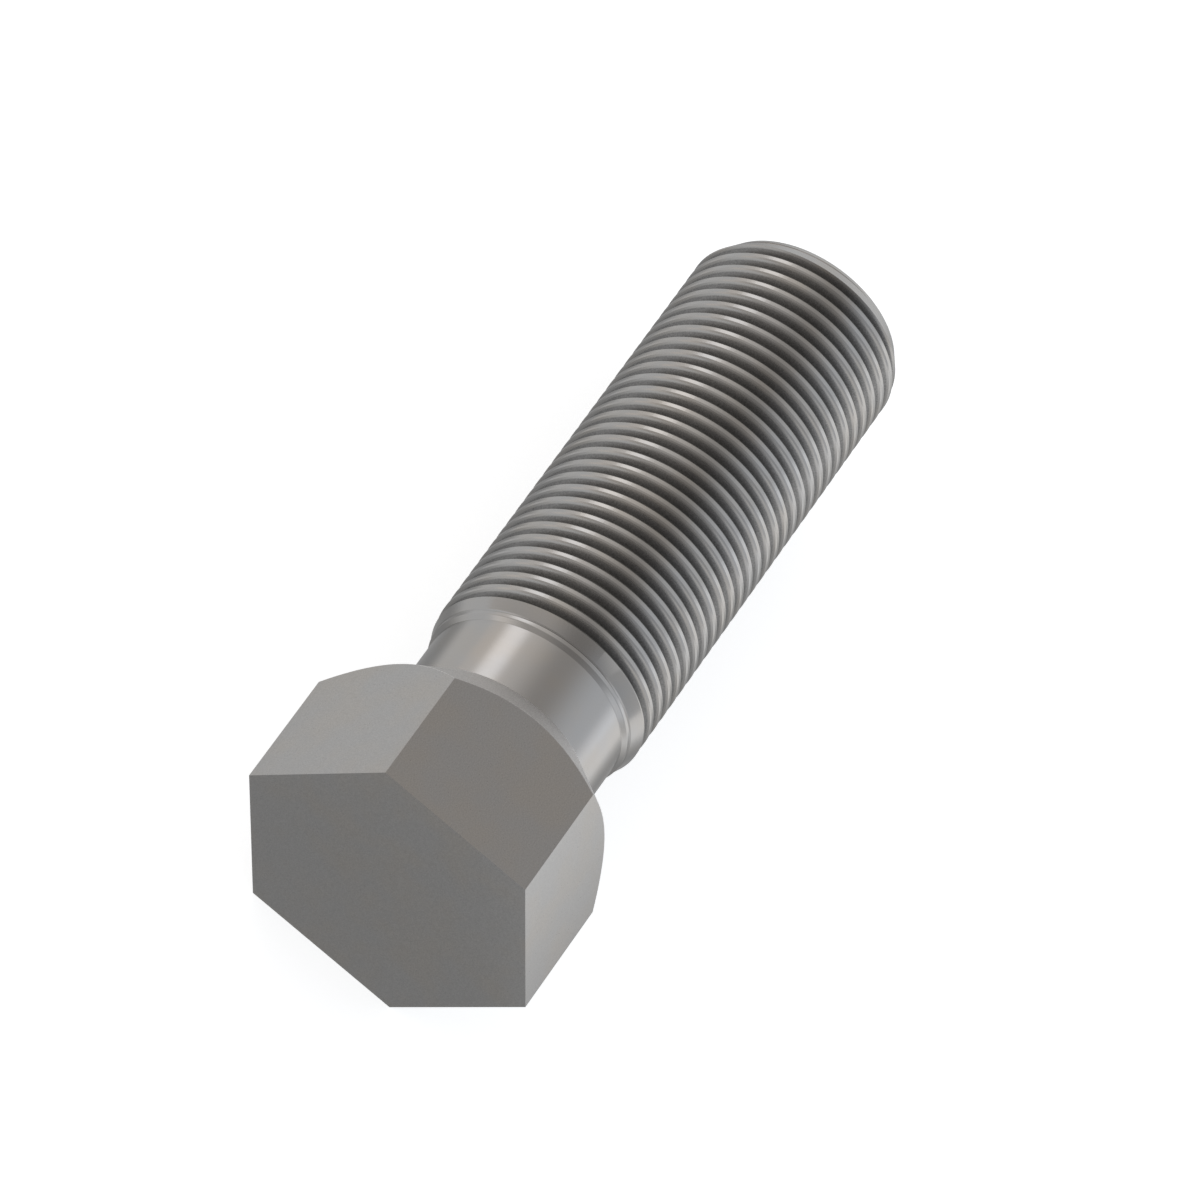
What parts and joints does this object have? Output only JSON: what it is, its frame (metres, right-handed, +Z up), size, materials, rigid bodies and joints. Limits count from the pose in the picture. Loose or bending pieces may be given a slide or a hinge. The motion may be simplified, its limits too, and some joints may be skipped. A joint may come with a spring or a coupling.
{
  "type": "hub bolt",
  "caption": "Hexagon-head bolt with a conical seat under the head, a plain neck and a long fine-threaded shank, for fastening a wheel or hub.",
  "frame": {"origin": "on the bolt's axis, where the small end of the conical seat meets the neck", "axes": "+X along the axis from the head to the tip, +Z up, square to the hexagon flat that the bolt lies on, +Y across two corners of the hexagon"},
  "size_m": [0.0684, 0.0278, 0.024],
  "materials": {
    "steel": "machined grey steel, satin, with a fine grain on the flats and the seat"
  },
  "bodies": {
    "root": {"hub_bolt": "steel"}
  },
  "joints": []
}
